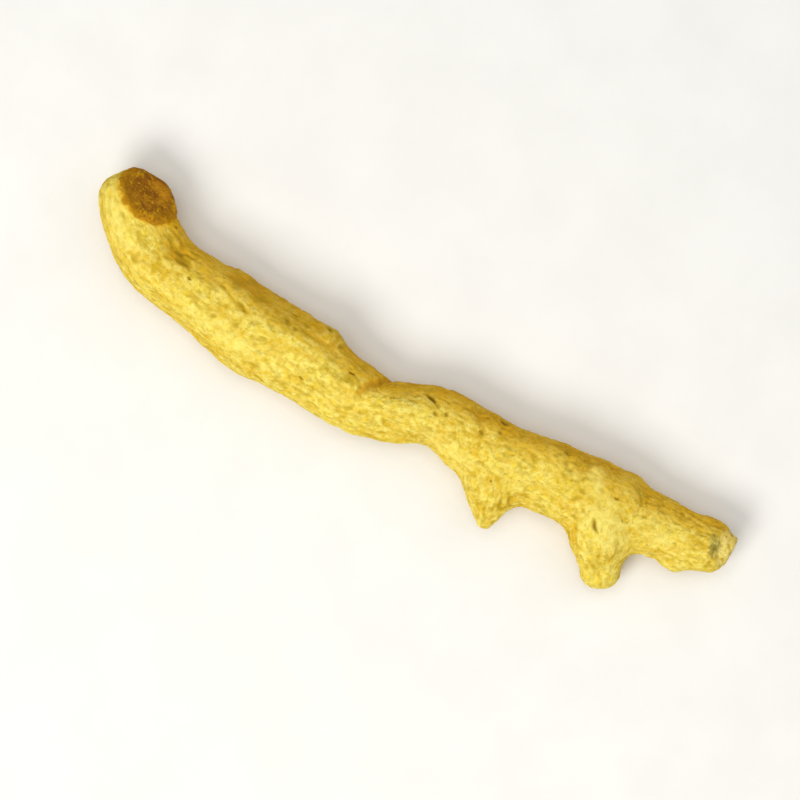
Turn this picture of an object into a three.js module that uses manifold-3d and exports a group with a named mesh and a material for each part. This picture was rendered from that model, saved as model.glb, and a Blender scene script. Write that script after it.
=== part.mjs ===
// A dried turmeric finger: one branched rhizome, lying on its side as it would on a table.
//
// Millimetres, +Z up. The finger runs along X, from the scar where it broke off the mother
// rhizome (-X) to its growing end (+X), and its side buds point to -Y. The origin is on the
// surface that it rests on, under the middle of its box.
//
// Two swollen lengths, called internodes here, meet at a waist. Each is a lathed blank with round
// ends that is bent along a centre line. The buds are lathed too. All of them are joined into one
// solid, the two scars are scooped out of it, and its underside is worn flat where it rests.

import * as THREE from 'three';
import { mergeVertices } from 'three/addons/utils/BufferGeometryUtils.js';
import Module from 'manifold-3d';

const wasm = await Module();
wasm.setup();

const sectionFlatness = 0.93; // a section's height over its width

// Each station is [x, y, half the width, height of the underside above the table]. Where that
// height is below zero, the underside is worn flat.
const mother = {
  stations: [
    [-48.8, 9.2, 4.3, 3.2],
    [-45.6, 4.4, 5.0, 1.8],
    [-40.2, 0.5, 5.15, 0.8],
    [-32.6, -1.2, 5.4, 0.15],
    [-22.8, -1.9, 6.0, -0.35],
    [-15.2, -1.9, 5.95, -0.3],
    [-7.2, -2.6, 5.05, 0.35],
    [-2.6, -2.6, 4.45, 0.7],
    [1.6, -1.9, 3.85, 1.2],
    [5.4, -0.9, 3.0, 2.1],
  ],
  startCap: 3.4,
  endCap: 2.4,
  turns: 46,
  nodeRings: [12.5, 24.5, 37, 48.5],
  wander: 0.4,
};

const daughter = {
  stations: [
    [-3.6, -2.4, 2.3, 5.4],
    [-0.8, -1.4, 3.2, 3.9],
    [2.7, -0.1, 3.95, 2.3],
    [7.0, 0.5, 4.55, 1.1],
    [11.4, 0.3, 4.9, 0.5],
    [17.0, 0.2, 5.2, 0.2],
    [22.4, 1.1, 5.25, -0.05],
    [27.8, 1.8, 5.5, -0.3],
    [33.6, 2.4, 5.45, -0.2],
    [36.4, 2.0, 4.8, 0.1],
    [39.8, 2.4, 4.4, 0.4],
    [45.4, 3.5, 4.05, 0.8],
    [51.2, 5.5, 3.5, 1.4],
  ],
  startCap: 3.0,
  endCap: 3.0,
  turns: 44,
  nodeRings: [8.5, 18, 35.5, 46],
  wander: 2.6,
};

const sides = 32; // faces round an internode
const capSteps = 6; // rings of faces in a round end

// The relief of an internode's skin: heights, and the lengths or counts that they repeat in.
const skin = {
  broadLump: { height: 0.2, spacing: 4.1, sway: 2 },
  smallLump: { height: 0.16, spacing: 2.6, sway: 1.8 },
  wideRidge: { height: 0.2, count: 3, twist: 10 },
  fineRidge: { height: 0.12, count: 5, twist: -8 },
  leafScar: { height: 0.16, halfWidth: 1.1, slant: 0.8 },
};

// Side buds. The outline is [distance from the root, half the width], from the root, which is
// inside an internode, to the tip. The widths near the root are flared, so that a bud swells out
// of the internode.
const buds = {
  thorn: {
    root: [16.3, 0.0, 5.2],
    tip: [19.4, -9.93, 4.2],
    outline: [[0.8, 3.8], [2.8, 4.7], [4.6, 4.6], [6.0, 3.75], [7.4, 2.6], [8.8, 1.6], [9.9, 0.95]],
    sides: 20,
  },
  knob: {
    root: [31.8, 2.1, 6.2],
    tip: [37.9, -8.7, 2.8],
    outline: [[0.8, 3.7], [3, 4.8], [5.2, 5], [7, 4.3], [8.6, 3.35], [10.2, 2.9], [11.6, 2.6], [12.4, 1.7]],
    sides: 24,
  },
  tipBump: {
    root: [43.4, 2.3, 4.6],
    tip: [46.2, -1.9, 4.4],
    outline: [[0.5, 1.9], [2.0, 2.6], [3.2, 2.2], [4.4, 1.4]],
    sides: 14,
  },
  backNub: {
    root: [-13.6, 0.2, 6.4],
    tip: [-12.2, 4.7, 7.9],
    outline: [[0.8, 2.2], [2.6, 2.5], [3.7, 1.8], [4.4, 0.9]],
    sides: 14,
  },
  shoulderNub: {
    root: [32.3, 3.6, 6.0],
    tip: [34.2, 7.4, 7.1],
    outline: [[0.8, 2.0], [2.4, 2.1], [3.4, 1.4], [4.1, 0.7]],
    sides: 12,
  },
};

// Scars where other fingers broke away: a ball of this radius scoops the surface at the centre to
// this depth, going in against the normal.
const scars = {
  motherScar: { centre: [-45.6, 7.2, 8.3], normal: [0.3, 0.62, 0.72], ball: 11, depth: 0.5 },
  tipScar: { centre: [49.4, 5.1, 7.2], normal: [0.62, 0.08, 0.78], ball: 6, depth: 0.5 },
};

const up = new THREE.Vector3(0, 0, 1);

// A unit-radius blank along +Y with round ends, for bending along a centre line.
function roundEndedBlank(length, startCap, endCap, rings) {
  const profile = [];
  for (let i = 0; i < capSteps; i++) {
    const angle = (i / capSteps) * Math.PI / 2;
    profile.push(new THREE.Vector2(Math.sin(angle), startCap * (1 - Math.cos(angle))));
  }
  for (let i = 0; i <= rings; i++) {
    profile.push(new THREE.Vector2(1, startCap + (length - startCap - endCap) * (i / rings)));
  }
  for (let i = capSteps - 1; i >= 0; i--) {
    const angle = (i / capSteps) * Math.PI / 2;
    profile.push(new THREE.Vector2(Math.sin(angle), length - endCap * (1 - Math.cos(angle))));
  }
  return new THREE.LatheGeometry(profile, sides);
}

// How far the skin of an internode stands out at a place, in millimetres: broad lumps, a few
// shrinkage ridges along it and the low rings of its leaf scars.
function skinHeight(along, angle, { nodeRings, wander }) {
  const { broadLump, smallLump, wideRidge, fineRidge, leafScar } = skin;
  const swayed = broadLump.sway * Math.sin(angle + wander);
  const broad = broadLump.height * Math.sin(along / broadLump.spacing + swayed + wander);
  const unswayed = smallLump.sway * Math.cos(angle);
  const small = smallLump.height * Math.sin(along / smallLump.spacing - unswayed + 2 * wander);
  const wide = wideRidge.height * Math.sin(wideRidge.count * angle + along / wideRidge.twist + wander);
  const fine = fineRidge.height * Math.sin(fineRidge.count * angle + along / fineRidge.twist);
  const rings = nodeRings.reduce((sum, place) => {
    const gap = along - place - leafScar.slant * Math.sin(angle + place);
    return sum + leafScar.height * Math.exp(-((gap / leafScar.halfWidth) ** 2));
  }, 0);
  return broad + small + wide + fine + rings;
}

function internode(shape) {
  const centreLine = new THREE.CatmullRomCurve3(
    shape.stations.map(([x, y, radius, lift]) => new THREE.Vector3(x, y, lift + radius * sectionFlatness)),
  );
  const halfWidth = new THREE.CatmullRomCurve3(
    shape.stations.map(([, , radius]) => new THREE.Vector3(radius, 0, 0)),
  );
  centreLine.arcLengthDivisions = 400;
  const length = centreLine.getLength();
  const geometry = roundEndedBlank(length, shape.startCap, shape.endCap, shape.turns);

  const position = geometry.getAttribute('position');
  const side = new THREE.Vector3();
  const over = new THREE.Vector3();
  for (let i = 0; i < position.count; i++) {
    const along = THREE.MathUtils.clamp(position.getY(i), 0, length);
    const onRadius = Math.hypot(position.getX(i), position.getZ(i));
    const angle = Math.atan2(position.getX(i), position.getZ(i));
    const t = centreLine.getUtoTmapping(along / length);
    const tangent = centreLine.getTangent(t);
    side.crossVectors(up, tangent).normalize();
    over.crossVectors(tangent, side);
    const reach = onRadius * (halfWidth.getPoint(t).x + skinHeight(along, angle, shape) * onRadius);
    const place = centreLine.getPoint(t)
      .addScaledVector(side, reach * Math.cos(angle))
      .addScaledVector(over, reach * Math.sin(angle) * sectionFlatness);
    position.setXYZ(i, place.x, place.y, place.z);
  }
  return geometry;
}

function bud({ root, tip, outline, sides: budSides }) {
  const from = new THREE.Vector3(...root);
  const to = new THREE.Vector3(...tip);
  const length = from.distanceTo(to);
  const line = new THREE.SplineCurve([
    new THREE.Vector2(0, 0),
    ...outline.map(([along, radius]) => new THREE.Vector2(radius, along)),
    new THREE.Vector2(0, length),
  ]);
  const profile = line.getPoints(16).map(({ x, y }) => new THREE.Vector2(Math.max(x, 0), y));
  profile[0].x = 0;
  profile.at(-1).x = 0;
  const direction = to.clone().sub(from).normalize();
  return new THREE.LatheGeometry(profile, budSides)
    .applyQuaternion(new THREE.Quaternion().setFromUnitVectors(new THREE.Vector3(0, 1, 0), direction))
    .translate(...root);
}

function scarScoop({ centre, normal, ball, depth }) {
  const outwards = new THREE.Vector3(...normal).normalize();
  const middle = new THREE.Vector3(...centre).addScaledVector(outwards, ball - depth);
  return new THREE.SphereGeometry(ball, 48, 32).translate(middle.x, middle.y, middle.z);
}

// Everything under the table, which the underside is trimmed to.
function table() {
  const [width, depth] = [160, 20];
  return new THREE.BoxGeometry(width, width, depth).translate(0, 0, -depth / 2);
}

function toSolid(geometry) {
  geometry.deleteAttribute('normal');
  geometry.deleteAttribute('uv');
  const merged = mergeVertices(geometry, 1e-4);
  return new wasm.Manifold(new wasm.Mesh({
    numProp: 3,
    vertProperties: merged.getAttribute('position').array,
    triVerts: new Uint32Array(merged.index.array),
  }));
}

function toGeometry(solid) {
  const { vertProperties, triVerts } = solid.getMesh();
  const geometry = new THREE.BufferGeometry();
  geometry.setAttribute('position', new THREE.BufferAttribute(vertProperties, 3));
  geometry.setIndex(new THREE.BufferAttribute(triVerts, 1));
  geometry.computeVertexNormals();
  return geometry;
}

let rhizome = toSolid(internode(mother)).add(toSolid(internode(daughter)));
for (const shape of Object.values(buds)) rhizome = rhizome.add(toSolid(bud(shape)));
for (const scar of Object.values(scars)) rhizome = rhizome.subtract(toSolid(scarScoop(scar)));
rhizome = rhizome.subtract(toSolid(table()));

const mesh = new THREE.Mesh(
  toGeometry(rhizome),
  new THREE.MeshStandardMaterial({ color: '#dcb63c', roughness: 0.9, metalness: 0 }),
);
mesh.name = 'turmeric_rhizome';

const turmericRoot = new THREE.Group();
turmericRoot.add(mesh);

export default turmericRoot;
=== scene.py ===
import math

import bmesh
import bpy
import numpy as np
from mathutils import Matrix, Vector


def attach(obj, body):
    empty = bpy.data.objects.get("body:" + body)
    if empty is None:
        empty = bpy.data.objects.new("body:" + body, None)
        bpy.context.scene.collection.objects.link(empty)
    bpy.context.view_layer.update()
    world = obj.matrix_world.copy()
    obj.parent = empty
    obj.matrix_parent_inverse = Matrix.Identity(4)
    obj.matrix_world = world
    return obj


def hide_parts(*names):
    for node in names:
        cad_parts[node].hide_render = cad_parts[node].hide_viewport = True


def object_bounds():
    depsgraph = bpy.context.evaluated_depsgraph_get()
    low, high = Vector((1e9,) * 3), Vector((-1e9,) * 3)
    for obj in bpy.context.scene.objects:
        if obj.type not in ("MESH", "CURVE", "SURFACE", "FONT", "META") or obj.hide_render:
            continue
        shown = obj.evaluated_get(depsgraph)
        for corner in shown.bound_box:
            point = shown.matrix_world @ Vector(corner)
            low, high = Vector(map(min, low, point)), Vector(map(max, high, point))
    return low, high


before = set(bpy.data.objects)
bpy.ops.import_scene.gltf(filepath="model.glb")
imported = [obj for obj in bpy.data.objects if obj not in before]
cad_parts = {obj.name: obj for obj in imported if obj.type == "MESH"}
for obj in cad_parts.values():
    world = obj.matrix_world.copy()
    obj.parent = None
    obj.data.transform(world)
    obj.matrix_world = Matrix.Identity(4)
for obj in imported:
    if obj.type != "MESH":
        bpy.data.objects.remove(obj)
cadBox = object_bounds()
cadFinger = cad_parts["turmeric_rhizome"]
scene = bpy.context.scene
mm = 0.001  # lengths in the settings are in metres where they are given times mm

# Where the finger grows, in millimetres: the lines that its skin follows. A station is x, y, half the
# width and the height of the underside. A bud is its root, its tip, and pairs of a distance from the
# root with half the width there. A scar is its centre, its normal, the radius of the ball that hollows
# it, how deep the ball goes, and the radius of the face.
growth = {
    "flatness": 0.93,  # a section's height over its width
    "wrapRadius": 5.0,  # girth that the skin pattern is laid out on
    "daughterPace": 1.35,  # the daughter's pattern is that much shorter along the grain
    "daughterLag": 9.0,  # and starts that far before the mother's end
    "waist": (-6, 12),  # the two lengths share the skin between these x
    "waistBlend": 0.5,  # and the pattern changes over within this of where they are level
    "foldFade": ((-3.4, -1.6), (3.0, 5.0), (7.0, 4.0)),  # the fold comes in across these y, z and x
    "mother": [
        (-48.8, 9.2, 4.3, 3.2),
        (-45.6, 4.4, 5.0, 1.8),
        (-40.2, 0.5, 5.15, 0.8),
        (-32.6, -1.2, 5.4, 0.15),
        (-22.8, -1.9, 6.0, -0.35),
        (-15.2, -1.9, 5.95, -0.3),
        (-7.2, -2.6, 5.05, 0.35),
        (-2.6, -2.6, 4.45, 0.7),
        (1.6, -1.9, 3.85, 1.2),
        (5.4, -0.9, 3.0, 2.1),
    ],
    "daughter": [
        (-3.6, -2.4, 2.3, 5.4),
        (-0.8, -1.4, 3.2, 3.9),
        (2.7, -0.1, 3.95, 2.3),
        (7.0, 0.5, 4.55, 1.1),
        (11.4, 0.3, 4.9, 0.5),
        (17.0, 0.2, 5.2, 0.2),
        (22.4, 1.1, 5.25, -0.05),
        (27.8, 1.8, 5.5, -0.3),
        (33.6, 2.4, 5.45, -0.2),
        (36.4, 2.0, 4.8, 0.1),
        (39.8, 2.4, 4.4, 0.4),
        (45.4, 3.5, 4.05, 0.8),
        (51.2, 5.5, 3.5, 1.4),
    ],
    "buds": {
        "thorn": (
            (16.3, 0.0, 5.2), (19.4, -9.93, 4.2),
            [(0.8, 3.8), (2.8, 4.7), (4.6, 4.6), (6.0, 3.75), (7.4, 2.6), (8.8, 1.6), (9.9, 0.95)],
        ),
        "knob": (
            (31.8, 2.1, 6.2), (37.9, -8.7, 2.8),
            [(0.8, 3.7), (3, 4.8), (5.2, 5), (7, 4.3), (8.6, 3.35), (10.2, 2.9), (11.6, 2.6), (12.4, 1.7)],
        ),
        "tipBump": ((43.4, 2.3, 4.6), (46.2, -1.9, 4.4), [(0.5, 1.9), (2.0, 2.6), (3.2, 2.2), (4.4, 1.4)]),
        "backNub": ((-13.6, 0.2, 6.4), (-12.2, 4.7, 7.9), [(0.8, 2.2), (2.6, 2.5), (3.7, 1.8), (4.4, 0.9)]),
        "shoulderNub": ((32.3, 3.6, 6.0), (34.2, 7.4, 7.1), [(0.8, 2.0), (2.4, 2.1), (3.4, 1.4), (4.1, 0.7)]),
    },
    "motherScar": ((-45.6, 7.2, 8.3), (0.3, 0.62, 0.72), 11.0, 0.5, 5.2),
    "motherFaceShift": (0.7, 0.3, -0.5),  # the broken face is off the middle of its hollow
    "tipScar": ((49.4, 5.1, 7.2), (0.62, 0.08, 0.78), 6.0, 0.5, 2.9),
    "tipFaceShift": (1.5, 0.1, -1.2),
    # placed like marks: a mouldy spot by the growing end, painted shadows, and pale patches painted as
    # highlights
    "endSpot": (48.5, 4.6, -60, 4.0, 2.0),
    # painted shadows: golden orange patches where shade fell
    "shadowPatches": [
        (-37.4, 2.4, -25, 8.4, 3.2, 1.0), (-19.5, 2.9, -10, 5.5, 2.4, 0.45), (-5.4, 1.7, -25, 7.0, 2.8, 0.8),
        (34.4, 7.6, -20, 3.6, 2.6, 0.8),
    ],
    # painted highlights: pale patches where the light fell brightest
    "highlightPatches": [
        (-46.4, 1.4, -45, 10.0, 3.4, 0.8), (29.6, 3.8, -60, 5.0, 2.8, 0.8), (34.0, -0.6, -40, 9.0, 5.0, 0.9),
        (41.0, 1.6, 10, 6.0, 3.0, 0.6), (-27.0, -4.2, -8, 16.0, 2.6, 0.6), (9.0, -2.4, -5, 12.0, 2.2, 0.6),
    ],
    "faceDepth": (0.1, 1.4),  # a face ends between these distances from its hollow
    "faceRim": (0.75, 1.2),  # and between these shares of its radius
    "ringSway": (0.8, 0.35),  # how far a leaf scar leans, and how far it waves
    # places along each length of the leaf scars, and how bold each one is
    "motherRings": [
        (5.5, 0.4), (12.5, 0.8), (18.5, 0.4), (24.5, 1.0), (31.0, 0.4), (37.0, 0.7), (43.5, 0.4), (48.5, 1.0),
    ],
    "daughterRings": [
        (8.5, 0.5), (13.5, 0.4), (18.0, 0.8), (24.0, 0.4), (29.5, 0.5), (35.5, 0.8), (41.0, 0.6), (46.0, 1.0),
    ],
}

# Dents, pits and slits of its upper side that are bigger than the rest: x, y, which way it lies in
# degrees, length, width, depth and how dark it is.
skinMarks = [
    (-46.4, 2.8, -40, 1.9, 0.8, 0.13, 0.5),
    (-48.2, 4.3, -45, 1.4, 0.7, 0.10, 0.4),
    (-42.5, 1.1, -22, 3.0, 0.7, 0.13, 0.4),
    (-41.9, -1.6, -15, 2.1, 0.8, 0.10, 0.4),
    (-39.8, 0.6, -12, 2.4, 0.7, 0.13, 0.4),
    (-39.2, 3.3, -24, 3.6, 1.1, 0.20, 0.5),
    # this groove is darkened partly with painted shade
    (-36.2, 1.9, -26, 4.6, 1.3, 0.28, 0.7),
    (-30.9, -2.8, -11, 3.3, 0.7, 0.11, 0.4),
    (-28.4, -2.9, -12, 1.1, 0.8, 0.15, 0.6),
    (-25.5, 0.2, -16, 3.1, 0.7, 0.20, 0.7),
    (-25.1, -2.6, 70, 1.4, 0.7, 0.11, 0.4),
    (-21.4, -3.5, 12, 1.1, 0.8, 0.11, 0.4),
    (-20.5, -0.3, 8, 0.9, 0.8, 0.13, 0.5),
    (-19.1, 1.6, -5, 1.4, 1.1, 0.17, 0.7),
    (-17.6, 1.4, -11, 1.0, 0.8, 0.15, 0.6),
    (-13.5, -4.4, -32, 2.2, 0.8, 0.13, 0.4),
    (-13.7, 3.8, -22, 2.2, 0.9, 0.20, 0.7),
    (-10.9, 2.4, -15, 1.0, 0.8, 0.15, 0.7),
    (-6.3, -0.7, -27, 2.6, 0.7, 0.14, 0.5),
    (-5.5, -4.5, 67, 1.6, 0.7, 0.14, 0.5),
    (-3.9, -4.3, -26, 1.1, 0.7, 0.13, 0.5),
    (2.6, -0.8, -46, 1.2, 0.9, 0.13, 0.4),
    (3.8, 2.4, -22, 2.5, 0.7, 0.32, 1.0),
    (5.1, 1.9, -33, 1.0, 0.6, 0.17, 0.6),
    (5.3, 0.8, -10, 0.9, 0.7, 0.20, 0.7),
    (6.7, 1.6, -15, 0.9, 0.7, 0.21, 0.8),
    (12.2, 1.8, -23, 1.2, 0.9, 0.22, 0.8),
    (12.7, 0.4, -43, 1.1, 0.7, 0.13, 0.5),
    (14.2, 4.9, -15, 2.3, 0.8, 0.29, 1.0),
    (14.5, 3.3, -3, 0.9, 0.7, 0.17, 0.7),
    (19.2, 0.7, -41, 1.2, 0.7, 0.14, 0.5),
    (19.6, -5.4, -62, 2.6, 0.6, 0.15, 0.5),
    (20.6, -4.6, -50, 2.2, 0.6, 0.15, 0.5),
    (21.7, -1.9, -23, 1.0, 0.7, 0.13, 0.4),
    (24.0, 5.3, -3, 1.3, 0.8, 0.17, 0.7),
    (24.7, 4.0, -36, 1.5, 0.7, 0.17, 0.6),
    (25.2, 2.5, 8, 1.7, 0.7, 0.13, 0.4),
    (27.7, 5.3, 4, 1.2, 0.8, 0.15, 0.6),
    (29.9, -0.5, -21, 1.0, 0.7, 0.13, 0.4),
    (32.5, -1.5, -43, 2.6, 0.7, 0.28, 0.9),
    (35.6, -6.4, -60, 3.2, 2.6, 0.11, 0.3),
    (39.9, 2.5, -30, 1.2, 0.7, 0.11, 0.4),
    (42.5, 6.0, -15, 1.1, 0.8, 0.14, 0.6),
    (43.7, 1.8, -30, 1.2, 0.7, 0.11, 0.4),
    (46.3, 2.7, -25, 1.1, 0.7, 0.11, 0.4),
]

markShape = {
    "sway": 0.12,  # how far a mark waves sideways
    "swayPace": 2.7,
    "edge": (0.25, 1.35),  # it fades out between these shares of its half length and half width
}


def smoothCurve(points, steps=24):
    # passes through every point, with a steady tangent
    ends = np.vstack([2 * points[0] - points[1], points, 2 * points[-1] - points[-2]])
    t = np.linspace(0, 1, steps, endpoint=False)[:, None]
    spans = []
    for a, b, c, d in zip(ends, ends[1:], ends[2:], ends[3:]):
        square = (2 * a - 5 * b + 4 * c - d) * t**2
        cube = (3 * b - a - 3 * c + d) * t**3
        spans.append((2 * b + (c - a) * t + square + cube) / 2)
    return np.vstack(spans + [points[-1:]])


def smoothStep(low, high, values):
    t = np.clip((values - low) / (high - low), 0, 1)
    return t * t * (3 - 2 * t)


def bell(values, width):
    return np.exp(-(values / width) ** 2)


def followSpine(points, stations, blockSize=8192):
    # for each point: its place along and round the length, and how far it stands off its surface
    x, y, girth, lift = np.array(stations).T
    line = smoothCurve(np.column_stack([x, y, lift + girth * growth["flatness"], girth]) * mm)
    centres, girths = line[:, :3], line[:, 3]
    travelled = np.concatenate([[0], np.cumsum(np.linalg.norm(np.diff(centres, axis=0), axis=1))])
    tangents = np.gradient(centres, axis=0)
    tangents /= np.linalg.norm(tangents, axis=1)[:, None]
    nearest = np.empty(len(points), int)
    for start in range(0, len(points), blockSize):
        block = points[start:start + blockSize]
        reach = ((block[:, None] - centres[None]) ** 2).sum(axis=2)
        nearest[start:start + blockSize] = reach.argmin(axis=1)
    tangent = tangents[nearest]
    away = points - centres[nearest]
    ahead = (away * tangent).sum(axis=1)
    side = np.cross([0, 0, 1], tangent)
    side /= np.linalg.norm(side, axis=1)[:, None]
    over = np.cross(tangent, side)
    across = (away * side).sum(axis=1)
    upward = (away * over).sum(axis=1) / growth["flatness"]
    beyond = np.where((nearest == 0) | (nearest == len(centres) - 1), ahead, 0)
    return {
        "along": travelled[nearest] + ahead,
        "angle": np.arctan2(upward, across),
        "wrap": np.column_stack([across, upward]) / girths[nearest][:, None],
        "off": np.sqrt(across**2 + upward**2 + beyond**2) - girths[nearest],
        "length": travelled[-1],
    }


def followBud(points, bud):
    root, tip, outline = bud
    root, tip = np.array(root) * mm, np.array(tip) * mm
    distances, widths = np.array(outline).T * mm
    length = np.linalg.norm(tip - root)
    axis = (tip - root) / length
    side = np.cross(axis, [0, 0, 1])
    side /= np.linalg.norm(side)
    over = np.cross(side, axis)
    away = points - root
    along = away @ axis
    wrap = np.column_stack([away @ side, away @ over])
    past = np.maximum(along - distances[-1], 0)
    off = np.hypot(np.hypot(*wrap.T), past) - np.interp(along, distances, widths)
    return {"along": along, "wrap": wrap, "off": off, "left": length - along}


def ringDistance(place, rings):
    # signed distance to the nearest leaf scar, and how bold that one is
    lean, wave = growth["ringSway"]
    gaps = []
    for at, _ in rings:
        sway = lean * np.sin(place["angle"] + at) + wave * np.sin(3 * place["angle"] + 2 * at)
        gaps.append(place["along"] / mm - at - sway)
    gaps = np.array(gaps)
    nearest = np.abs(gaps).argmin(axis=0)
    strength = np.array([bold for _, bold in rings])[nearest]
    return gaps[nearest, np.arange(gaps.shape[1])] * mm, strength


def scarFace(points, scar, shift):
    # how surely a point is on the broken face, and how far out on it
    centre, normal, ball, depth, radius = scar
    normal = np.array(normal) / np.linalg.norm(normal)
    middle = np.array(centre) * mm + normal * (ball - depth) * mm
    gap = np.abs(np.linalg.norm(points - middle, axis=1) - ball * mm)
    faceCentre = (np.array(centre) + np.array(shift)) * mm
    out = np.linalg.norm(points - faceCentre, axis=1) / (radius * mm)
    inHollow = 1 - smoothStep(*growth["faceDepth"], gap / mm)
    return inHollow * (1 - smoothStep(*growth["faceRim"], out)), out


def markShare(points, markX, markY, turn, length, width):
    # 1 in the middle of a mark, and 0 off it
    x, y, _ = points.T / mm
    turn = math.radians(turn)
    ahead = (x - markX) * math.cos(turn) + (y - markY) * math.sin(turn)
    aside = (y - markY) * math.cos(turn) - (x - markX) * math.sin(turn)
    aside = aside + markShape["sway"] * np.sin(markShape["swayPace"] * ahead + markX)
    return 1 - smoothStep(*markShape["edge"], np.hypot(2 * ahead / length, 2 * aside / width))


def allMarks(points, facingUp):
    # how deep and how dark the marks make each point
    depth = np.zeros(len(points))
    dark = np.zeros(len(points))
    for *spot, deep, darkness in skinMarks:
        share = markShare(points, *spot)
        depth = np.maximum(depth, share * deep * mm)
        dark = np.maximum(dark, share * darkness)
    return depth * facingUp, dark * facingUp


# The blank is the CAD solid with an even skin and its joins grown together.
blankSettings = {
    "voxel": 0.45 * mm,
    "easePasses": 6,  # pairs of passes that round the edges without shrinking the buds
    "easeIn": 0.55,
    "easeOut": -0.57,
    "joinWidth": 1.7 * mm,
    "joinPasses": 60,  # passes that fill the corners where the buds and lengths meet
    "joinEase": 0.6,
    "foldOpens": (-3.6 * mm, -1.6 * mm),  # the fold is left unfilled past these y
    "foldFloor": 4.0 * mm,  # but filled below this height
}


def neighbourAverage(points, edges, counts):
    total = np.zeros_like(points)
    for axis in range(3):
        total[:, axis] = np.bincount(edges[:, 0], points[edges[:, 1], axis], len(points))
        total[:, axis] += np.bincount(edges[:, 1], points[edges[:, 0], axis], len(points))
    return total / counts[:, None]


def readPoints(mesh):
    points = np.empty(len(mesh.vertices) * 3)
    mesh.vertices.foreach_get("co", points)
    return points.reshape(-1, 3)


def writePoints(mesh, points):
    mesh.vertices.foreach_set("co", points.astype(np.float32).ravel())
    mesh.update()


def plainMesh(piece, name):
    # what the modifiers give, as a mesh of its own
    graph = bpy.context.evaluated_depsgraph_get()
    finished = piece.evaluated_get(graph)
    mesh = bpy.data.meshes.new_from_object(finished, preserve_all_data_layers=True, depsgraph=graph)
    mesh.name = name
    return mesh


def swapMesh(piece, mesh):
    old = piece.data
    piece.modifiers.clear()
    piece.data = mesh
    bpy.data.meshes.remove(old)


def joinShares(points):
    # 1 where two of the shapes meet, apart from the fold on the upper side
    width = blankSettings["joinWidth"]
    mother = followSpine(points, growth["mother"])["off"]
    daughter = followSpine(points, growth["daughter"])["off"]
    body = np.minimum(mother, daughter)
    lower = 1 - smoothStep(*blankSettings["foldOpens"], points[:, 1])
    filled = np.maximum(lower, points[:, 2] < blankSettings["foldFloor"])
    share = bell(mother, width) * bell(daughter, width) * filled
    for bud in growth["buds"].values():
        share = np.maximum(share, bell(body, width) * bell(followBud(points, bud)["off"], width))
    return share


def makeBlank():
    blank = bpy.data.objects.new("turmericFinger", cadFinger.data.copy())
    scene.collection.objects.link(blank)
    blank.data.materials.clear()
    work = bmesh.new()
    work.from_mesh(blank.data)
    bmesh.ops.remove_doubles(work, verts=work.verts, dist=0.001 * mm)
    work.to_mesh(blank.data)
    work.free()
    evenSkin = blank.modifiers.new("evenSkin", "REMESH")
    evenSkin.mode = "VOXEL"
    evenSkin.voxel_size = blankSettings["voxel"]
    swapMesh(blank, plainMesh(blank, "blankSkin"))

    points = readPoints(blank.data)
    edges = np.empty(len(blank.data.edges) * 2, int)
    blank.data.edges.foreach_get("vertices", edges)
    edges = edges.reshape(-1, 2)
    counts = np.bincount(edges.ravel(), minlength=len(points)).astype(float)
    joins = joinShares(points)[:, None] * blankSettings["joinEase"]
    for _ in range(blankSettings["joinPasses"]):
        points += joins * (neighbourAverage(points, edges, counts) - points)
    for _ in range(blankSettings["easePasses"]):
        for share in (blankSettings["easeIn"], blankSettings["easeOut"]):
            points += share * (neighbourAverage(points, edges, counts) - points)
    writePoints(blank.data, points)

    finer = blank.modifiers.new("finer", "SUBSURF")
    finer.levels = finer.render_levels = 1
    swapMesh(blank, plainMesh(blank, "fineSkin"))
    print("blank:", len(blank.data.vertices), "points")
    return blank


def setValues(mesh, name, values):
    vector = values.ndim == 2
    attribute = mesh.attributes.new(name, "FLOAT_VECTOR" if vector else "FLOAT", "POINT")
    attribute.data.foreach_set("vector" if vector else "value", values.astype(np.float32).ravel())


def mapLengths(mesh, points):
    # the place of each point along and round the mother or the daughter
    mother = followSpine(points, growth["mother"])
    daughter = followSpine(points, growth["daughter"])
    blend = growth["waistBlend"] * mm
    onDaughter = smoothStep(-blend, blend, mother["off"] - daughter["off"])
    start, end = growth["waist"]
    x = points[:, 0] / mm
    onDaughter = np.where(x < start, 0, np.where(x > end, 1, onDaughter))
    lag = growth["daughterLag"] * mm
    daughterAlong = mother["length"] - lag + growth["daughterPace"] * daughter["along"]
    along = mother["along"] * (1 - onDaughter) + daughterAlong * onDaughter
    wrap = mother["wrap"] * (1 - onDaughter)[:, None] + daughter["wrap"] * onDaughter[:, None]
    setValues(mesh, "bodyGrain", np.column_stack([along, wrap * growth["wrapRadius"] * mm]))
    return {"mother": mother, "daughter": daughter, "onDaughter": onDaughter, "wrap": wrap}


budSettings = {
    "reach": 1.5 * mm,  # points further than this off a bud aren't on it
    "blend": (-0.8 * mm, 1.0 * mm),  # how much nearer the bud is than the length, where it takes over
    "farFromTip": 20 * mm,  # given to points that are on no bud
    "grainShift": 30 * mm,  # keeps the patterns of the buds apart
}


def mapBuds(mesh, points, lengths):
    # the grain of a bud runs out to its tip
    body = np.minimum(lengths["mother"]["off"], lengths["daughter"]["off"])
    budShare = np.zeros(len(points))
    budGrain = np.zeros((len(points), 3))
    tipLeft = np.full(len(points), budSettings["farFromTip"])
    for number, bud in enumerate(growth["buds"].values()):
        place = followBud(points, bud)
        onBud = (place["off"] < budSettings["reach"]) & (place["along"] > 0)
        share = smoothStep(*budSettings["blend"], body - place["off"]) * onBud
        grain = np.column_stack([place["along"], place["wrap"]]) + budSettings["grainShift"] * number
        more = share > budShare
        budGrain[more] = grain[more]
        tipLeft[more] = np.minimum(tipLeft[more], place["left"][more])
        budShare = np.maximum(budShare, share)
    setValues(mesh, "budGrain", budGrain)
    setValues(mesh, "budShare", budShare)
    setValues(mesh, "tipLeft", tipLeft)
    return budShare


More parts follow.
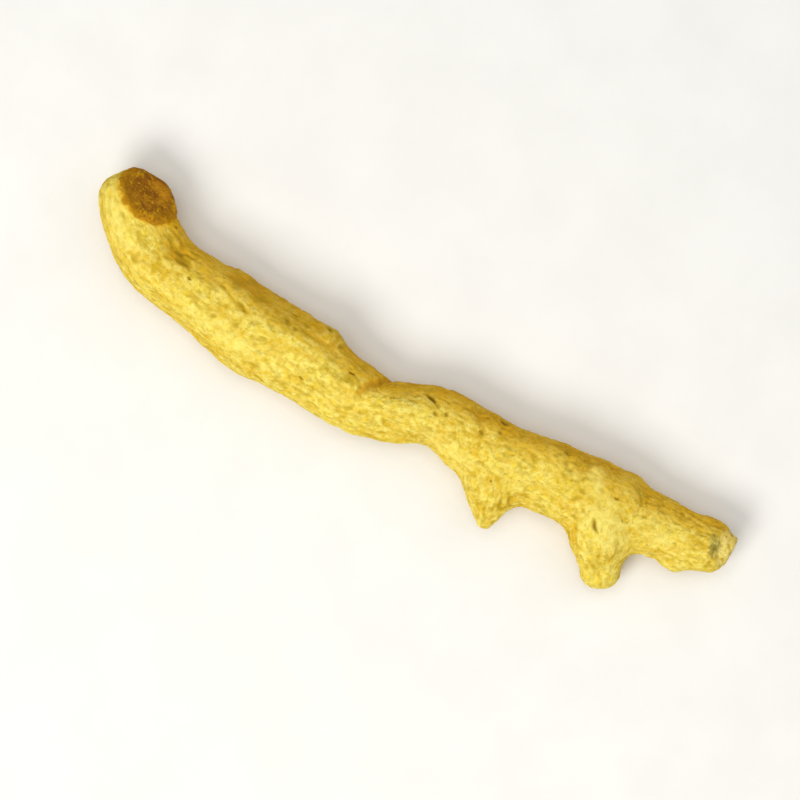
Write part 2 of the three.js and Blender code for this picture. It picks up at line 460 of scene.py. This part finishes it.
def mapLeafScars(mesh, lengths, budShare):
    motherGap, motherBold = ringDistance(lengths["mother"], growth["motherRings"])
    daughterGap, daughterBold = ringDistance(lengths["daughter"], growth["daughterRings"])
    mostlyDaughter = lengths["onDaughter"] > 0.5
    fade = np.abs(lengths["onDaughter"] - 0.5) * 2  # none in the fold between the two lengths
    bold = np.where(mostlyDaughter, daughterBold, motherBold) * fade * (1 - budShare)
    setValues(mesh, "ringGap", np.where(mostlyDaughter, daughterGap, motherGap))
    setValues(mesh, "ringBold", bold)


def mapFold(mesh, points, lengths):
    # the fold where the daughter's shoulder overlaps the mother's end
    x, y, z = points.T / mm
    overY, overZ, overX = growth["foldFade"]
    share = smoothStep(*overY, y) * smoothStep(*overZ, z) * smoothStep(*overX, x)
    setValues(mesh, "foldShare", share * (x > growth["waist"][0]))
    setValues(mesh, "foldGap", lengths["mother"]["off"] - lengths["daughter"]["off"])


# where shade is painted: shares of the girth across and above the middle of a length
shadeAndMarkSettings = {
    "farSide": (0.10, 0.85),  # painted shade comes in across these, away from the buds
    "underside": (0.1, -0.9),
    "undersideShare": 0.7,
    "budsKeep": 0.3,
    "patchesFade": (-0.1, 0.3),  # the listed patches are above these
    "marksFade": (0.1, 0.45),
}


# paints shade golden orange on the far side and the underside, and maps the painted shadow and highlight
# patches
def mapPaintedLight(mesh, points, lengths, budShare):
    across, upward = lengths["wrap"].T
    away = smoothStep(*shadeAndMarkSettings["farSide"], across)
    under = shadeAndMarkSettings["undersideShare"] * smoothStep(*shadeAndMarkSettings["underside"], upward)
    goldAndShade = np.maximum(away, under) * (1 - shadeAndMarkSettings["budsKeep"] * budShare)
    shadowPatches, highlightPatches = [
        np.max([markShare(points, *place) * share for *place, share in growth[name]], axis=0)
        * smoothStep(*shadeAndMarkSettings["patchesFade"], upward)
        for name in ("shadowPatches", "highlightPatches")
    ]
    setValues(mesh, "goldAndShade", np.maximum(goldAndShade, shadowPatches))
    setValues(mesh, "highlightPatches", highlightPatches)


def mapScarsAndMarks(mesh, points, lengths):
    motherScar, motherOut = scarFace(points, growth["motherScar"], growth["motherFaceShift"])
    tipScar, tipOut = scarFace(points, growth["tipScar"], growth["tipFaceShift"])
    setValues(mesh, "motherScar", motherScar)
    setValues(mesh, "tipScar", tipScar)
    setValues(mesh, "scarOut", np.where(motherScar > tipScar, motherOut, tipOut))
    facingUp = smoothStep(*shadeAndMarkSettings["marksFade"], lengths["wrap"][:, 1])
    markDepth, markDark = allMarks(points, facingUp)
    setValues(mesh, "markDepth", markDepth)
    setValues(mesh, "markDark", markDark)
    setValues(mesh, "endSpot", markShare(points, *growth["endSpot"]) * facingUp)


def mapSkin(mesh):
    # what each point of the skin knows about its place on the plant
    points = readPoints(mesh)
    lengths = mapLengths(mesh, points)
    budShare = mapBuds(mesh, points, lengths)
    mapLeafScars(mesh, lengths, budShare)
    mapFold(mesh, points, lengths)
    mapPaintedLight(mesh, points, lengths, budShare)
    mapScarsAndMarks(mesh, points, lengths)
    room = np.minimum(points - np.array(cadBox[0]), np.array(cadBox[1]) - points).min(axis=1)
    setValues(mesh, "room", np.maximum(room, 0))  # to the box of the CAD solid
    print("skin mapped:", int((budShare > 0.5).sum()), "points on buds")


# small helpers for node trees

def plug(tree, value, socket):
    if isinstance(value, bpy.types.NodeSocket):
        tree.links.new(value, socket)
    else:
        socket.default_value = value


def addNode(tree, kind, inputs=None, **settings):
    node = tree.nodes.new(kind)
    for name, value in settings.items():
        setattr(node, name, value)
    for name, value in (inputs or {}).items():
        plug(tree, value, node.inputs[name])
    return node


def calc(tree, operation, *values, clamp=False):
    node = addNode(tree, "ShaderNodeMath", operation=operation, use_clamp=clamp)
    for value, socket in zip(values, node.inputs):
        plug(tree, value, socket)
    return node.outputs[0]


def times(tree, *values):
    product = values[0]
    for value in values[1:]:
        product = calc(tree, "MULTIPLY", product, value)
    return product


def vectorCalc(tree, operation, *values):
    node = addNode(tree, "ShaderNodeVectorMath", operation=operation)
    for value, socket in zip(values, node.inputs):
        plug(tree, value, socket)
    return node.outputs[0]


def ramp(tree, value, low, high, start=0.0, end=1.0):
    node = addNode(tree, "ShaderNodeMapRange", interpolation_type="SMOOTHSTEP")
    settings = {"Value": value, "From Min": low, "From Max": high, "To Min": start, "To Max": end}
    for name, setting in settings.items():
        plug(tree, setting, node.inputs[name])
    return node.outputs["Result"]


def near(tree, value, reach):
    # 1 where the value is 0, and 0 where it is further off than reach
    return ramp(tree, calc(tree, "ABSOLUTE", value), 0.0, reach, 1.0, 0.0)


def centred(tree, value):
    return calc(tree, "SUBTRACT", value, 0.5)


def mix(tree, kind, share, first, second):
    # places: the sockets of the share and of both values, and the output
    places = {"FLOAT": (0, 2, 3, 0), "RGBA": (0, 6, 7, 2)}[kind]
    node = addNode(tree, "ShaderNodeMix", data_type=kind)
    for value, place in zip((share, first, second), places):
        plug(tree, value, node.inputs[place])
    return node.outputs[places[3]]


def noise(tree, place, size, detail, roughness=0.5, output=0):
    inputs = {"Vector": place, "Scale": 1 / size, "Detail": detail, "Roughness": roughness}
    return addNode(tree, "ShaderNodeTexNoise", inputs).outputs[output]


def wobble(tree, place, size, reach):
    # moves places about at random, by reach along each axis
    swing = vectorCalc(tree, "SUBTRACT", noise(tree, place, size, 1.0, output=1), (0.5, 0.5, 0.5))
    return vectorCalc(tree, "ADD", place, vectorCalc(tree, "MULTIPLY", swing, reach))


def stretched(tree, grain, longer, shift=0.0):
    # squeezes the pattern space along the grain, so that a pattern comes out longer that way; each
    # shift gives another pattern
    squeezed = vectorCalc(tree, "MULTIPLY", grain, (1 / longer, 1, 1))
    return vectorCalc(tree, "ADD", squeezed, (shift, shift * 0.7, shift * 1.3))


pitSettings = {
    "width": 0.5 * mm,
    "longer": 2.2,  # than it is wide
    "cell": 2.4,  # in widths, as are the two below
    "wander": 2.9,
    "wanderReach": 1.6,
    "fill": 0.16,  # share of the cells that have a pit
    "radius": (0.13, 0.3),  # in cells
}


def pitField(tree, grain):
    # oblong pits lying along the grain, one in a cell
    width = pitSettings["width"]
    reach = pitSettings["wanderReach"] * width
    place = wobble(tree, grain, pitSettings["wander"] * width, (reach, reach, reach))
    place = stretched(tree, place, pitSettings["longer"])
    cell = {"Vector": place, "Scale": 1 / (pitSettings["cell"] * width)}
    cells = addNode(tree, "ShaderNodeTexVoronoi", cell)
    chance = addNode(tree, "ShaderNodeSeparateXYZ", {"Vector": cells.outputs["Color"]})
    radius = ramp(tree, chance.outputs[1], 0, 1, *pitSettings["radius"])
    outwards = calc(tree, "DIVIDE", cells.outputs["Distance"], radius)
    inside = calc(tree, "SUBTRACT", 1.0, outwards, clamp=True)
    chosen = calc(tree, "LESS_THAN", chance.outputs[0], pitSettings["fill"])
    return times(tree, ramp(tree, inside, 0, 0.7), chosen)


# the skin: dents, wrinkles, pits, leaf scars and broken faces, raised from the blank
skinSettings = {
    "Lump height": 0.22 * mm,
    "Lump size": 5.5 * mm,
    "Swell": 0.14 * mm,  # makes up for what the dents take away
    "Wrinkle depth": 0.12 * mm,
    "Wrinkle width": 1.3 * mm,
    "Wrinkle length": 5.0,  # over its width
    "Streak depth": 0.05 * mm,
    "Dent depth": 0.15 * mm,
    "Peel depth": 0.075 * mm,
    "Pit depth": 0.22 * mm,
    "Ring height": 0.09 * mm,
    "Fold depth": 0.40 * mm,
    "Lip height": 0.30 * mm,
    "Scar roughness": 0.60 * mm,
    "Face swell": 0.55 * mm,
}

# sizes of the patterns in the relief
reliefSizes = {
    "bend": 4.2 * mm,
    "bendReach": 2.0 * mm,  # how far the grain wanders sideways
    "wrinklePatch": 8.0 * mm,
    "dentPatch": 5.0 * mm,
    "dent": 0.80 * mm,
    "smallDent": 0.50 * mm,
    "streak": 0.55 * mm,
    "peel": 0.58 * mm,
    "ringPatch": 3.5 * mm,
    "ringHalf": 0.75 * mm,
    "grooveOff": 0.95 * mm,  # from the ring of a leaf scar to its groove
    "grooveHalf": 0.70 * mm,
    "creaseOff": 0.35 * mm,  # from the line where the two lengths meet
    "creaseHalf": 0.65 * mm,
    "lipOff": 0.75 * mm,
    "lipHalf": 1.1 * mm,
    "smoothTip": 3.5 * mm,  # the tip of a bud is smoother from here on
    "budScale": 1.5 * mm,
    "budScaleHeight": 0.05 * mm,
    "budScaleFade": (0.8 * mm, 4.0 * mm),  # from the tip
    "torn": 2.1 * mm,
    "ragged": 1.7 * mm,
    "endRoughness": 0.8 * mm,
}


def reliefAlong(tree, grain, goldAndShade, inputs):
    # relief of the skin in a pattern space whose first axis is the grain
    reach = reliefSizes["bendReach"]
    bent = wobble(tree, grain, reliefSizes["bend"], (0.0, reach, reach))

    # long shrinkage wrinkles: round ridges with narrow valleys, in patches
    shorter = calc(tree, "DIVIDE", 1.0, inputs["Wrinkle length"])
    squeeze = addNode(tree, "ShaderNodeCombineXYZ", {"X": shorter, "Y": 1.0, "Z": 1.0}).outputs[0]
    fold = addNode(tree, "ShaderNodeTexNoise", {
        "Vector": vectorCalc(tree, "MULTIPLY", bent, squeeze),
        "Scale": calc(tree, "DIVIDE", 0.5, inputs["Wrinkle width"]),
        "Detail": 1.5,
        "Roughness": 0.45,
    })
    patches = noise(tree, grain, reliefSizes["wrinklePatch"], 1.0)
    patches = ramp(tree, patches, 0.38, 0.62, 0.15, 1.0)
    valley = times(tree, near(tree, centred(tree, fold.outputs[0]), 0.11), patches)

    # soft dents lying along the grain, smaller ones between them, streaks and an even roughness
    crowd = ramp(tree, noise(tree, grain, reliefSizes["dentPatch"], 1.0), 0.34, 0.6, 0.45, 1.0)
    dents = noise(tree, stretched(tree, bent, 2.3), reliefSizes["dent"], 1.0)
    dents = times(tree, ramp(tree, dents, 0.50, 0.68), crowd)
    lesser = noise(tree, stretched(tree, bent, 1.8, 0.04), reliefSizes["smallDent"], 1.0)
    lesser = ramp(tree, lesser, 0.53, 0.70)
    streaks = noise(tree, stretched(tree, bent, 6.0, 0.09), reliefSizes["streak"], 2.0)
    peel = noise(tree, grain, reliefSizes["peel"], 2.0, 0.6)
    pits = pitField(tree, grain)

    deeper = ramp(tree, goldAndShade, 0.2, 0.9, 1.0, 2.1)  # wrinkles are deeper on the side painted with shade
    parts = [
        (valley, times(tree, inputs["Wrinkle depth"], deeper)),
        (dents, inputs["Dent depth"]),
        (lesser, times(tree, inputs["Dent depth"], 0.45)),
        (centred(tree, streaks), times(tree, inputs["Streak depth"], 2.0)),
        (centred(tree, peel), times(tree, inputs["Peel depth"], 2.0)),
        (pits, inputs["Pit depth"]),
    ]
    depth = 0.0
    for share, deep in parts:
        depth = calc(tree, "ADD", depth, times(tree, share, deep))
    dents = calc(tree, "MAXIMUM", dents, times(tree, lesser, 0.6))
    return calc(tree, "MULTIPLY", depth, -1.0), dents, pits, valley


def leafScarRelief(tree, place, known, inputs):
    # a leaf scar is a low ridge with a groove on its growing side
    gap = known("ringGap")
    groove = near(tree, calc(tree, "SUBTRACT", gap, reliefSizes["grooveOff"]), reliefSizes["grooveHalf"])
    ring = near(tree, gap, reliefSizes["ringHalf"])
    ring = calc(tree, "SUBTRACT", ring, times(tree, groove, 0.9))
    broken = ramp(tree, noise(tree, place, reliefSizes["ringPatch"], 1.0), 0.4, 0.6, 0.2, 1.0)
    return times(tree, ring, known("ringBold"), broken, inputs["Ring height"])


def foldRelief(tree, known, inputs):
    # the daughter's lip stands over a crease in the mother's end
    gap, share = known("foldGap"), known("foldShare")
    crease = near(tree, calc(tree, "ADD", gap, reliefSizes["creaseOff"]), reliefSizes["creaseHalf"])
    lip = near(tree, calc(tree, "SUBTRACT", gap, reliefSizes["lipOff"]), reliefSizes["lipHalf"])
    crease, lip = times(tree, crease, share), times(tree, lip, share)
    drop = times(tree, crease, inputs["Fold depth"])
    return calc(tree, "SUBTRACT", times(tree, lip, inputs["Lip height"]), drop), crease


def budScaleRelief(tree, budShare, tipLeft):
    # scale rings close to the tip of a bud
    scales = calc(tree, "SINE", calc(tree, "MULTIPLY", tipLeft, 2 * math.pi / reliefSizes["budScale"]))
    fade = ramp(tree, tipLeft, *reliefSizes["budScaleFade"], reliefSizes["budScaleHeight"], 0.0)
    return times(tree, scales, fade, budShare)


def breakFaces(tree, place, known, inputs, height):
    # broken faces are rough and swollen, with ragged edges and without the skin's wrinkles and pits
    torn = centred(tree, noise(tree, place, reliefSizes["torn"], 5.0, 0.62))
    torn = times(tree, torn, inputs["Scar roughness"], 2.0)
    ragged = centred(tree, noise(tree, place, reliefSizes["ragged"], 3.0, 0.6))
    faces = []
    for name in ("motherScar", "tipScar"):
        edge = calc(tree, "ADD", known(name), times(tree, ragged, 1.5))
        faces.append(ramp(tree, edge, 0.28, 0.72))
    swollen = times(tree, ramp(tree, known("scarOut"), 1.1, 0.2), inputs["Face swell"])
    face = calc(tree, "MAXIMUM", *faces)
    height = mix(tree, "FLOAT", face, height, calc(tree, "ADD", torn, swollen))
    nearEnd = ramp(tree, known("tipScar"), 0.0, 0.5)
    return calc(tree, "ADD", height, times(tree, ragged, nearEnd, reliefSizes["endRoughness"])), faces


def buildSkinTree():
    tree = bpy.data.node_groups.new("turmericSkin", "GeometryNodeTree")
    tree.interface.new_socket(name="Geometry", in_out="INPUT", socket_type="NodeSocketGeometry")
    for name in skinSettings:
        tree.interface.new_socket(name=name, in_out="INPUT", socket_type="NodeSocketFloat")
    tree.interface.new_socket(name="Skin", in_out="INPUT", socket_type="NodeSocketMaterial")
    tree.interface.new_socket(name="Geometry", in_out="OUTPUT", socket_type="NodeSocketGeometry")
    inputs = tree.nodes.new("NodeGroupInput").outputs

    def known(name, kind="FLOAT"):
        return addNode(tree, "GeometryNodeInputNamedAttribute", {"Name": name}, data_type=kind).outputs[0]

    budShare, tipLeft, goldAndShade = known("budShare"), known("tipLeft"), known("goldAndShade")
    place = addNode(tree, "GeometryNodeInputPosition").outputs[0]
    onBody = reliefAlong(tree, known("bodyGrain", "FLOAT_VECTOR"), goldAndShade, inputs)
    onBud = reliefAlong(tree, known("budGrain", "FLOAT_VECTOR"), goldAndShade, inputs)
    height, dents, pits, valley = [mix(tree, "FLOAT", budShare, *pair) for pair in zip(onBody, onBud)]
    height = times(tree, height, ramp(tree, tipLeft, 0.0, reliefSizes["smoothTip"], 0.45, 1.0))

    size = calc(tree, "DIVIDE", 1.0, inputs["Lump size"])
    lumps = addNode(tree, "ShaderNodeTexNoise", {"Vector": place, "Scale": size, "Detail": 1.0}).outputs[0]
    lumps = times(tree, calc(tree, "SUBTRACT", lumps, 0.55), inputs["Lump height"], 2.0)
    foldHeight, crease = foldRelief(tree, known, inputs)
    ring = leafScarRelief(tree, place, known, inputs)
    for more in (lumps, ring, foldHeight, budScaleRelief(tree, budShare, tipLeft)):
        height = calc(tree, "ADD", height, more)
    height = calc(tree, "SUBTRACT", height, known("markDepth"))
    height, faces = breakFaces(tree, place, known, inputs, height)

    # nothing grows out of the box of the CAD solid, or down through the surface that it rests on
    height = calc(tree, "MINIMUM", calc(tree, "ADD", height, inputs["Swell"]), known("room"))

    skin = inputs["Geometry"]
    kept = {
        "dents": dents, "pits": pits, "valley": valley, "crease": crease,
        "motherFace": faces[0], "tipFace": faces[1], "relief": height,
    }
    for name, value in kept.items():
        store = {"Geometry": skin, "Name": name, "Value": value}
        keep = addNode(tree, "GeometryNodeStoreNamedAttribute", store, data_type="FLOAT", domain="POINT")
        skin = keep.outputs[0]
    normal = addNode(tree, "GeometryNodeInputNormal").outputs[0]
    lift = addNode(tree, "ShaderNodeVectorMath", {"Scale": height}, operation="SCALE")
    tree.links.new(normal, lift.inputs[0])
    skin = addNode(tree, "GeometryNodeSetPosition", {"Geometry": skin, "Offset": lift.outputs[0]}).outputs[0]
    skin = addNode(tree, "GeometryNodeSetShadeSmooth", {"Geometry": skin}).outputs[0]
    skin = addNode(tree, "GeometryNodeRealizeInstances", {"Geometry": skin}).outputs[0]
    skin = addNode(tree, "GeometryNodeSetMaterial", {"Geometry": skin, "Material": inputs["Skin"]}).outputs[0]
    tree.links.new(skin, tree.nodes.new("NodeGroupOutput").inputs[0])
    return tree


def growSkin(finger, skin):
    tree = buildSkinTree()
    modifier = finger.modifiers.new("skin", "NODES")
    modifier.node_group = tree
    values = dict(skinSettings, Skin=skin)
    for item in tree.interface.items_tree:
        if item.in_out == "INPUT" and item.name in values:
            modifier[item.identifier] = values[item.name]
    swapMesh(finger, plainMesh(finger, "turmericFinger"))

    points = readPoints(finger.data)
    print("skin reaches", (points.min(0) / mm).round(3), (points.max(0) / mm).round(3))
    writePoints(finger.data, np.clip(points, np.array(cadBox[0]), np.array(cadBox[1])))


# the finish
skinColours = {
    "dustAndHighlight": (0.915, 0.785, 0.190, 1),
    "skin": (0.845, 0.650, 0.070, 1),
    "deep": (0.700, 0.415, 0.014, 1),
    "goldAndShade": (0.710, 0.370, 0.005, 1),  # golden orange: painted shade on the far side and underside, and the gold of the broken face's rim and halo
    "olive": (0.410, 0.275, 0.016, 1),
    "pit": (0.200, 0.090, 0.005, 1),
    "scar": (0.500, 0.215, 0.012, 1),
    "scarDark": (0.270, 0.100, 0.008, 1),
    "cortex": (0.820, 0.640, 0.190, 1),  # the pale flesh of a broken end
    "mould": (0.270, 0.235, 0.050, 1),  # grey green
}

# widths of the patterns in the finish
finishSizes = {
    "broadMottle": 5.5 * mm,
    "fineMottle": 0.9 * mm,
    "shadePatchSize": 3.2 * mm,
    "streak": 1.1 * mm,
    "fibre": 0.42 * mm,
    "speckle": 0.55 * mm,
    "speck": 0.28 * mm,
    "powder": 0.30 * mm,
    "tornFace": 0.9 * mm,
    "faceCloud": 2.6 * mm,
    "fibreEnd": 0.62 * mm,
    "strand": 0.36 * mm,
}

cavityShadeHeights = (-0.22 * mm, 0.05 * mm)  # painted shade: the pale dust colour fades out into the hollows of the relief across these

# heights in the fine relief
bumpHeights = {
    "powder": 0.12 * mm,
    "fibre": 0.09 * mm,
    "speck": 0.12 * mm,
    "tornFace": 0.55 * mm,
    "fibreEnd": 0.09 * mm,
}


def stored(tree, name, output="Fac"):
    node = addNode(tree, "ShaderNodeAttribute", attribute_name=name, attribute_type="GEOMETRY")
    return node.outputs[output]


def tint(tree, colour, share, name):
    return mix(tree, "RGBA", share, colour, skinColours[name])


def grainNoise(tree, longer, size, shift=0.0):
    # noise drawn out along the grain of the length or the bud
    onBody, onBud = [
        noise(tree, stretched(tree, stored(tree, grain, "Vector"), longer, shift), size, 3.0, 0.6)
        for grain in ("bodyGrain", "budGrain")
    ]
    return mix(tree, "FLOAT", stored(tree, "budShare"), onBody, onBud)


def colourSkin(tree, place, fine, fibres, specks):
    # powdery mottling, with painted shade: the pale dust colour keeps off the hollows of the relief, and the
    # far side and underside are painted golden orange
    broad = noise(tree, place, finishSizes["broadMottle"], 3.0, 0.55)
    # painted shade in the hollows: the dust colour is laid on raised places only
    high = ramp(tree, stored(tree, "relief"), *cavityShadeHeights)
    colour = tint(tree, skinColours["deep"], ramp(tree, broad, 0.34, 0.58, 0.35, 1.0), "skin")
    colour = tint(tree, colour, times(tree, ramp(tree, fine, 0.34, 0.62), high, 0.9), "dustAndHighlight")
    patches = noise(tree, place, finishSizes["shadePatchSize"], 3.0, 0.6)
    patches = ramp(tree, patches, 0.3, 0.62, 1.0, 0.7)
    goldAndShade, valley = stored(tree, "goldAndShade"), stored(tree, "valley")
    # painted shade: golden orange on the far side, the underside and the shadow patches
    colour = tint(tree, colour, times(tree, goldAndShade, patches, 0.92), "goldAndShade")

    # streaks and fibres along the grain
    streaks = grainNoise(tree, 5.0, finishSizes["streak"], 0.03)
    colour = tint(tree, colour, ramp(tree, streaks, 0.46, 0.64, 0.0, 0.42), "deep")
    colour = tint(tree, colour, ramp(tree, fibres, 0.48, 0.70, 0.0, 0.35), "deep")

    # painted shade darkens the wrinkles, browner on the far side, and dents and specks are olive
    colour = tint(tree, colour, times(tree, valley, 0.3), "deep")
    colour = tint(tree, colour, times(tree, valley, goldAndShade, 0.5), "scar")
    dented = times(tree, stored(tree, "dents"), ramp(tree, fine, 0.2, 0.7, 0.75, 0.4))
    colour = tint(tree, colour, dented, "olive")
    speckle = grainNoise(tree, 1.6, finishSizes["speckle"], 0.05)
    colour = tint(tree, colour, ramp(tree, speckle, 0.50, 0.66, 0.0, 0.42), "olive")
    colour = tint(tree, colour, specks, "olive")
    # painted highlights: pale patches in the dust colour at the listed places
    highlightPatches = times(tree, stored(tree, "highlightPatches"), ramp(tree, fine, 0.3, 0.6, 0.35, 0.75))
    colour = tint(tree, colour, highlightPatches, "dustAndHighlight")

    # pits and slits are brown, and the fold's crease is darkened with painted shade
    colour = tint(tree, colour, ramp(tree, stored(tree, "pits"), 0.1, 0.95, 0.0, 0.75), "pit")
    marks = stored(tree, "markDark")
    colour = tint(tree, colour, ramp(tree, marks, 0.0, 0.6, 0.0, 0.6), "olive")
    colour = tint(tree, colour, ramp(tree, marks, 0.45, 1.0, 0.0, 0.85), "pit")
    # painted shade in the fold's crease
    return tint(tree, colour, times(tree, stored(tree, "crease"), 0.55), "scar")


def colourMotherFace(tree, place, torn, colour):
    # the face left by the mother: orange brown, golden towards its rim, with a faint ring under the
    # rind and the ends of its fibres inside that
    cloudy = noise(tree, place, finishSizes["faceCloud"], 3.0)
    out = calc(tree, "ADD", stored(tree, "scarOut"), times(tree, centred(tree, cloudy), 0.5))
    face = tint(tree, skinColours["scar"], ramp(tree, cloudy, 0.38, 0.60), "scarDark")
    face = tint(tree, face, ramp(tree, out, 0.55, 1.0, 0.0, 0.4), "goldAndShade")
    face = tint(tree, face, ramp(tree, torn, 0.5, 0.72, 0.0, 0.7), "goldAndShade")
    rind = near(tree, calc(tree, "SUBTRACT", out, 0.72), 0.08)
    face = tint(tree, face, times(tree, rind, ramp(tree, torn, 0.35, 0.6), 0.4), "deep")
    cells = {"Vector": place, "Scale": 1 / finishSizes["fibreEnd"]}
    ends = addNode(tree, "ShaderNodeTexVoronoi", cells).outputs["Distance"]
    ends = ramp(tree, ends, 0.16, 0.34, 1.0, 0.0)
    ends = times(tree, ends, ramp(tree, out, 0.80, 0.64), ramp(tree, cloudy, 0.3, 0.6, 0.2, 0.7))
    face = tint(tree, face, ends, "deep")
    strands = noise(tree, place, finishSizes["strand"], 3.0, 0.6)
    face = tint(tree, face, ramp(tree, strands, 0.52, 0.66, 0.0, 0.6), "scarDark")

    # the skin round it is golden
    halo = calc(tree, "ADD", stored(tree, "motherScar"), times(tree, centred(tree, torn), 0.7))
    colour = tint(tree, colour, ramp(tree, halo, 0.05, 0.5, 0.0, 0.65), "goldAndShade")
    share = ramp(tree, stored(tree, "motherFace"), 0.15, 0.95)
    return mix(tree, "RGBA", share, colour, face), ends


def colourGrowingEnd(tree, torn, colour):
    # cream with a little olive, and the mouldy spot beside it
    end = tint(tree, skinColours["olive"], ramp(tree, torn, 0.36, 0.52), "cortex")
    colour = mix(tree, "RGBA", times(tree, stored(tree, "tipFace"), 0.6), colour, end)
    spot = ramp(tree, stored(tree, "endSpot"), 0.1, 0.9)
    return tint(tree, colour, times(tree, spot, ramp(tree, torn, 0.66, 0.46, 0.25, 0.7)), "mould")


def makeSkinMaterial():
    material = bpy.data.materials.new("driedTurmericSkin")
    material.use_nodes = True
    tree = material.node_tree
    tree.nodes.clear()

    place = addNode(tree, "ShaderNodeTexCoord").outputs["Object"]
    fine = noise(tree, place, finishSizes["fineMottle"], 4.0, 0.65)
    torn = noise(tree, place, finishSizes["tornFace"], 4.0, 0.65)
    fibres = grainNoise(tree, 7.0, finishSizes["fibre"])
    specks = noise(tree, place, finishSizes["speck"], 2.0, 0.6)
    specks = ramp(tree, specks, 0.6, 0.72, 0.0, 0.35)
    colour = colourSkin(tree, place, fine, fibres, specks)
    colour, ends = colourMotherFace(tree, place, torn, colour)
    colour = colourGrowingEnd(tree, torn, colour)

    # fine relief: powder, fibres and specks, and the grit of the broken faces
    powder = noise(tree, place, finishSizes["powder"], 4.0, 0.7)
    height = times(tree, powder, bumpHeights["powder"])
    height = calc(tree, "ADD", height, times(tree, fibres, bumpHeights["fibre"]))
    height = calc(tree, "SUBTRACT", height, times(tree, specks, bumpHeights["speck"]))
    grit = times(tree, torn, bumpHeights["tornFace"])
    grit = calc(tree, "ADD", grit, times(tree, ends, bumpHeights["fibreEnd"]))
    faces = calc(tree, "MAXIMUM", stored(tree, "motherFace"), stored(tree, "tipFace"))
    height = calc(tree, "ADD", height, times(tree, grit, faces))
    bump = addNode(tree, "ShaderNodeBump", {"Strength": 0.8, "Distance": 1.0, "Height": height})

    shader = addNode(tree, "ShaderNodeBsdfPrincipled", {
        "Base Color": colour,
        "Roughness": ramp(tree, fine, 0.3, 0.7, 0.84, 0.97),
        "Specular IOR Level": 0.05,
        "Normal": bump.outputs[0],
    })
    tree.links.new(shader.outputs[0], tree.nodes.new("ShaderNodeOutputMaterial").inputs[0])
    print("skin coloured")
    return material


# floor, lights and camera
studio = {
    "floorSize": 3.0,
    "floorMottle": 12 * mm,
    "floorColour": (0.86, 0.85, 0.82, 1),
    "floorShade": (0.76, 0.75, 0.72, 1),
    "skyColour": (1.0, 1.0, 1.0, 1),
    "skyStrength": 0.36,
    "pictureTurn": math.radians(30.2),  # how far the camera is turned about the upright
    "cameraHeight": 0.45,
    "viewWidth": 0.113,
    # where it shines from, as seen in the picture (right, up, towards the camera), then distance,
    # size, watts and colour
    "lights": {
        "key": ((-0.50, -0.56, 0.90), 0.6, 0.28, 2.15, (1.0, 0.98, 0.93)),
        "fill": ((0.7, 0.3, 0.9), 0.8, 0.6, 0.8, (1.0, 0.98, 0.95)),
        "top": ((-0.1, 0.1, 1.0), 0.8, 0.5, 2.15, (1.0, 1.0, 1.0)),
    },
}


def makeFloor():
    half = studio["floorSize"] / 2
    mesh = bpy.data.meshes.new("paleFloor")
    corners = [(-half, -half, 0), (half, -half, 0), (half, half, 0), (-half, half, 0)]
    mesh.from_pydata(corners, [], [(0, 1, 2, 3)])
    floor = bpy.data.objects.new("paleFloor", mesh)
    scene.collection.objects.link(floor)
    material = bpy.data.materials.new("palePaper")
    material.use_nodes = True
    tree = material.node_tree
    place = addNode(tree, "ShaderNodeTexCoord").outputs["Object"]
    shade = ramp(tree, noise(tree, place, studio["floorMottle"], 4.0), 0.3, 0.7, 0.0, 0.3)
    shader = tree.nodes["Principled BSDF"]
    paper = mix(tree, "RGBA", shade, studio["floorColour"], studio["floorShade"])
    plug(tree, paper, shader.inputs["Base Color"])
    shader.inputs["Roughness"].default_value = 0.85
    mesh.materials.append(material)


def makeStudio():
    middle = (Vector(cadBox[0]) + Vector(cadBox[1])) / 2
    turn = Matrix.Rotation(studio["pictureTurn"], 3, "Z")
    for name, (direction, distance, size, watts, colour) in studio["lights"].items():
        lamp = bpy.data.lights.new(name, "AREA")
        lamp.size, lamp.energy, lamp.color = size, watts, colour
        light = bpy.data.objects.new(name, lamp)
        towards = turn @ Vector(direction).normalized()
        light.location = middle + towards * distance
        light.rotation_euler = towards.to_track_quat("Z", "Y").to_euler()
        scene.collection.objects.link(light)
    world = bpy.data.worlds.new("paleRoom")
    world.use_nodes = True
    world.node_tree.nodes["Background"].inputs["Color"].default_value = studio["skyColour"]
    world.node_tree.nodes["Background"].inputs["Strength"].default_value = studio["skyStrength"]
    scene.world = world

    lens = bpy.data.cameras.new("camera")
    lens.lens = lens.sensor_width * studio["cameraHeight"] / studio["viewWidth"]
    camera = bpy.data.objects.new("camera", lens)
    camera.location = middle + Vector((0, 0, studio["cameraHeight"]))
    camera.rotation_euler = (0, 0, studio["pictureTurn"])
    scene.collection.objects.link(camera)
    scene.camera = camera
    scene.view_settings.view_transform = "Standard"


makeFloor()
makeStudio()
print("studio set")
finger = makeBlank()
mapSkin(finger.data)
growSkin(finger, makeSkinMaterial())
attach(finger, "root")
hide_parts("turmeric_rhizome")
print("finger grown:", sum(len(face.vertices) - 2 for face in finger.data.polygons), "triangles")
